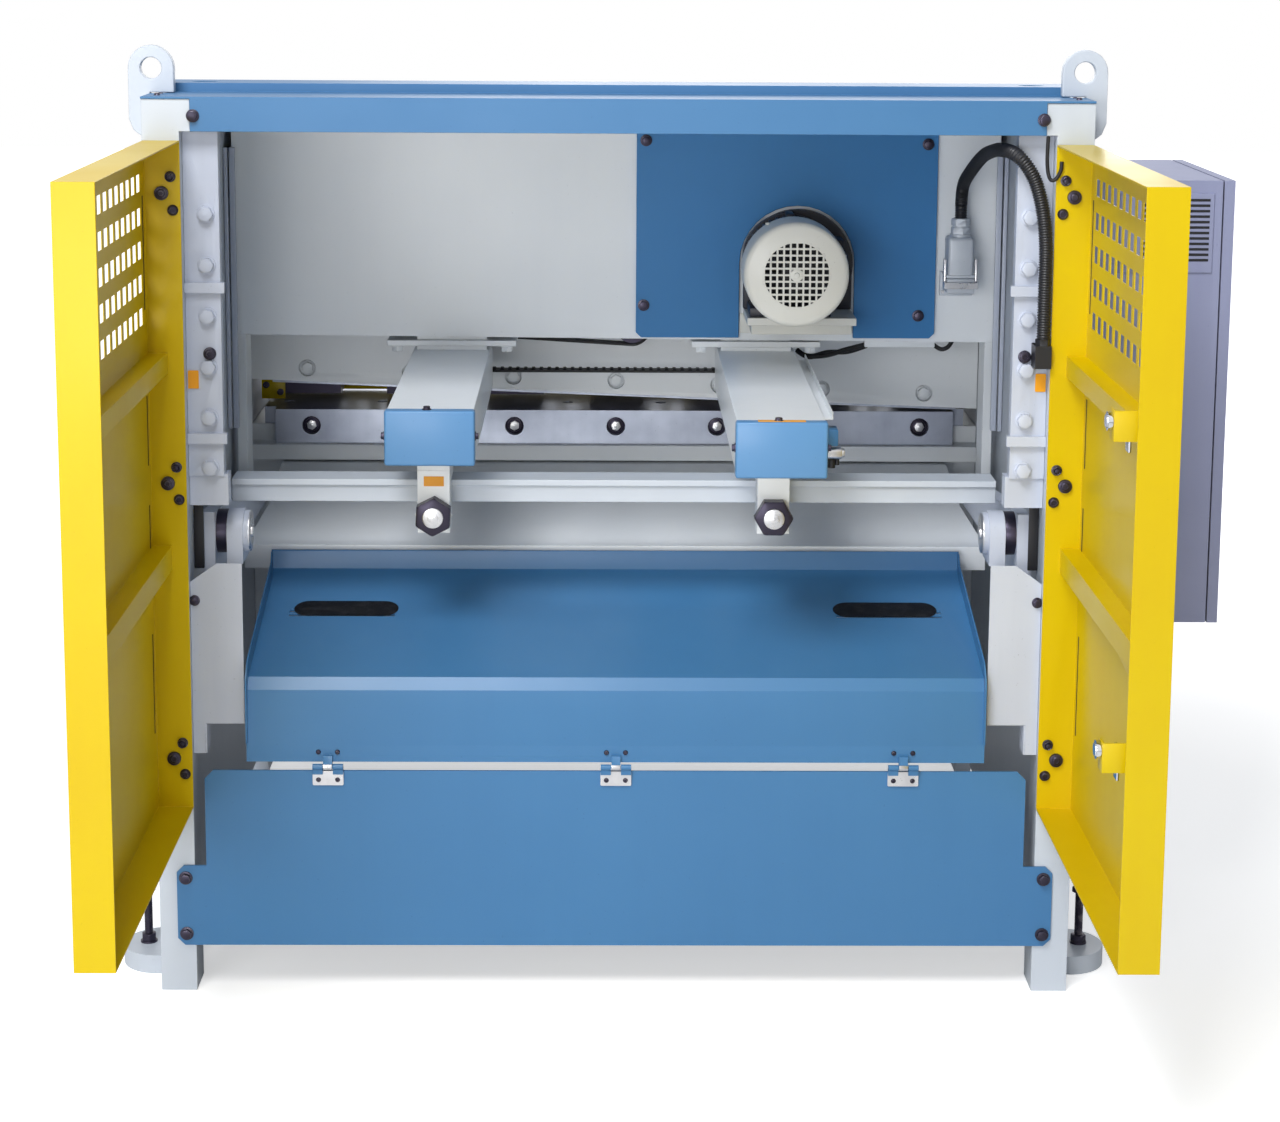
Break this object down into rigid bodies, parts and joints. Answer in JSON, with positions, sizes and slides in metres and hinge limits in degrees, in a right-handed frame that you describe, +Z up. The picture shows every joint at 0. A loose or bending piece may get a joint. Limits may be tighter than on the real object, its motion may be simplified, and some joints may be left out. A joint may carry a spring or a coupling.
{
  "type": "guillotine shear",
  "caption": "Floor-standing sheet-metal guillotine shear seen from its rear, with raked moving blade, two-arm back gauge, swing-down scrap chute, rear doors and side control cabinet.",
  "frame": {"origin": "middle of the overall footprint, on the floor", "axes": "+Z up, +Y towards the operator's side, -Y the back with the doors, +X to the right seen from the back"},
  "size_m": [1.5729, 1.83, 1.315],
  "materials": {
    "white_paint": "semi-gloss",
    "light_blue_paint": "semi-gloss",
    "steel_blue_paint": "semi-gloss",
    "yellow_paint": "gloss",
    "grey_paint": "semi-gloss",
    "black_steel": "oiled black",
    "bright_steel": "ground",
    "cast_black": "satin",
    "cream_paint": "semi-gloss",
    "black_plastic": "matt",
    "black_rubber": "matt",
    "cast_aluminium": "cast, satin",
    "chrome_lock": "polished"
  },
  "bodies": {
    "frame": {"apron": "white_paint", "bed": "white_paint", "cabinet": "grey_paint", "cabinet_hinge": "grey_paint", "conduit": "black_rubber", "conduit_gland": "black_plastic", "door_cable": "black_rubber", "finger_guard": "yellow_paint", "front_cover": "white_paint", "front_panel": "steel_blue_paint", "guide_plate_left": "grey_paint", "guide_plate_right": "grey_paint", "holddown_beam": "grey_paint", "level_bolt_front_left": "black_steel", "level_bolt_front_right": "black_steel", "level_bolt_rear_left": "black_steel", "level_bolt_rear_right": "black_steel", "lifting_eye_left": "white_paint", "lifting_eye_right": "white_paint", "lower_blade": "bright_steel", "rear_panel": "steel_blue_paint", "side_cover_left": "light_blue_paint", "side_cover_right": "light_blue_paint", "side_frame_left": "white_paint", "side_frame_right": "white_paint", "table": "bright_steel", "top_cover": "light_blue_paint"},
    "ram": {"ram": "white_paint", "upper_blade": "bright_steel", "ram_cover": "steel_blue_paint", "motor_bracket": "cream_paint", "motor_body": "cast_black", "motor_cowl": "cream_paint", "connector": "cast_aluminium", "gauge_arm_left": "white_paint", "gauge_arm_right": "white_paint", "arm_cap_left": "steel_blue_paint", "arm_cap_right": "steel_blue_paint", "gauge_belt": "black_rubber", "idler_pin": "bright_steel", "limit_switch": "steel_blue_paint", "ram_link_left": "bright_steel", "ram_link_right": "bright_steel"},
    "gauge": {"gauge_beam": "white_paint", "gauge_carriage_left": "grey_paint", "gauge_carriage_right": "grey_paint"},
    "screw_left": {"gauge_screw_left": "bright_steel"},
    "screw_right": {"gauge_screw_right": "bright_steel"},
    "rotor": {"motor_rotor": "black_plastic"},
    "idler": {"belt_idler": "black_plastic"},
    "door_left": {"door_left": "yellow_paint"},
    "door_right": {"door_right": "yellow_paint"},
    "lock_lower": {"door_lock_lower": "chrome_lock"},
    "lock_upper": {"door_lock_upper": "chrome_lock"},
    "chute": {"chute": "steel_blue_paint"},
    "cabinet_door": {"cabinet_door": "grey_paint"},
    "connector_lever": {"connector_lever": "cast_aluminium"},
    "rocker_left": {"rocker_left": "bright_steel"},
    "rocker_right": {"rocker_right": "bright_steel"},
    "clamp": {"clamp_bar": "cast_black"}
  },
  "joints": [
    {"name": "ram_slide", "type": "slide", "parent": "frame", "child": "ram", "axis": [0, 0, -1], "range_m": [0, 0.06], "deforming": ["conduit"]},
    {"name": "gauge_slide", "type": "slide", "parent": "ram", "child": "gauge", "axis": [0, 1, 0], "range_m": [0, 0.42]},
    {"name": "gauge_screw_left_turn", "type": "hinge", "parent": "ram", "child": "screw_left", "pos_m": [-0.3365, -0.289, 0.797], "axis": [0, 1, 0], "range_deg": [0, 15200]},
    {"name": "gauge_screw_right_turn", "type": "hinge", "parent": "ram", "child": "screw_right", "pos_m": [0.1405, -0.289, 0.797], "axis": [0, 1, 0], "range_deg": [0, 15200]},
    {"name": "motor_rotor_turn", "type": "hinge", "parent": "ram", "child": "rotor", "pos_m": [0.1855, 0.02, 0.972], "axis": [0, 1, 0], "range_deg": [0, 15200]},
    {"name": "belt_idler_turn", "type": "hinge", "parent": "ram", "child": "idler", "pos_m": [-0.0525, 0.358, 0.838], "axis": [0, 1, 0], "range_deg": [-16400, 0]},
    {"name": "door_left_hinge", "type": "hinge", "parent": "frame", "child": "door_left", "pos_m": [-0.6645, -0.3425, 0.73], "axis": [0, 0, 1], "range_deg": [0, 90]},
    {"name": "door_right_hinge", "type": "hinge", "parent": "frame", "child": "door_right", "pos_m": [0.5055, -0.3425, 0.73], "axis": [0, 0, -1], "range_deg": [0, 90], "deforming": ["door_cable"]},
    {"name": "door_lock_lower_turn", "type": "hinge", "parent": "door_right", "child": "lock_lower", "pos_m": [0.555, -0.889, 0.531], "axis": [1, 0, 0], "range_deg": [0, 90]},
    {"name": "door_lock_upper_turn", "type": "hinge", "parent": "door_right", "child": "lock_upper", "pos_m": [0.555, -0.889, 0.92], "axis": [1, 0, 0], "range_deg": [0, 90]},
    {"name": "chute_hinge", "type": "hinge", "parent": "frame", "child": "chute", "pos_m": [-0.0795, -0.3385, 0.329], "axis": [-1, 0, 0], "range_deg": [-20, 0]},
    {"name": "cabinet_door_hinge", "type": "hinge", "parent": "frame", "child": "cabinet_door", "pos_m": [0.777, 0.1805, 0.492], "axis": [0, 0, 1], "range_deg": [0, 110]},
    {"name": "connector_lever_turn", "type": "hinge", "parent": "ram", "child": "connector_lever", "pos_m": [0.451, 0.179, 0.971], "axis": [-1, 0, 0], "range_deg": [0, 90]},
    {"name": "rocker_left_turn", "type": "hinge", "parent": "frame", "child": "rocker_left", "pos_m": [-0.6395, -0.24, 0.64], "axis": [-1, 0, 0], "range_deg": [0, 6.9]},
    {"name": "rocker_right_turn", "type": "hinge", "parent": "frame", "child": "rocker_right", "pos_m": [0.4805, -0.24, 0.64], "axis": [-1, 0, 0], "range_deg": [0, 6.9]},
    {"name": "clamp_slide", "type": "slide", "parent": "frame", "child": "clamp", "axis": [0, 0, -1], "range_m": [0, 0.01], "stiffness_N_per_m": 25000, "springref_m": -0.02}
  ],
  "couplings": [
    {"joint": "gauge_screw_left_turn", "follows": "gauge_slide", "rad_per_m": 628.32},
    {"joint": "gauge_screw_right_turn", "follows": "gauge_slide", "rad_per_m": 628.32},
    {"joint": "motor_rotor_turn", "follows": "gauge_slide", "rad_per_m": 628.32},
    {"joint": "belt_idler_turn", "follows": "gauge_slide", "rad_per_m": -671.49},
    {"joint": "rocker_left_turn", "follows": "ram_slide", "rad_per_m": 1.9689},
    {"joint": "rocker_right_turn", "follows": "ram_slide", "rad_per_m": 1.9689}
  ]
}
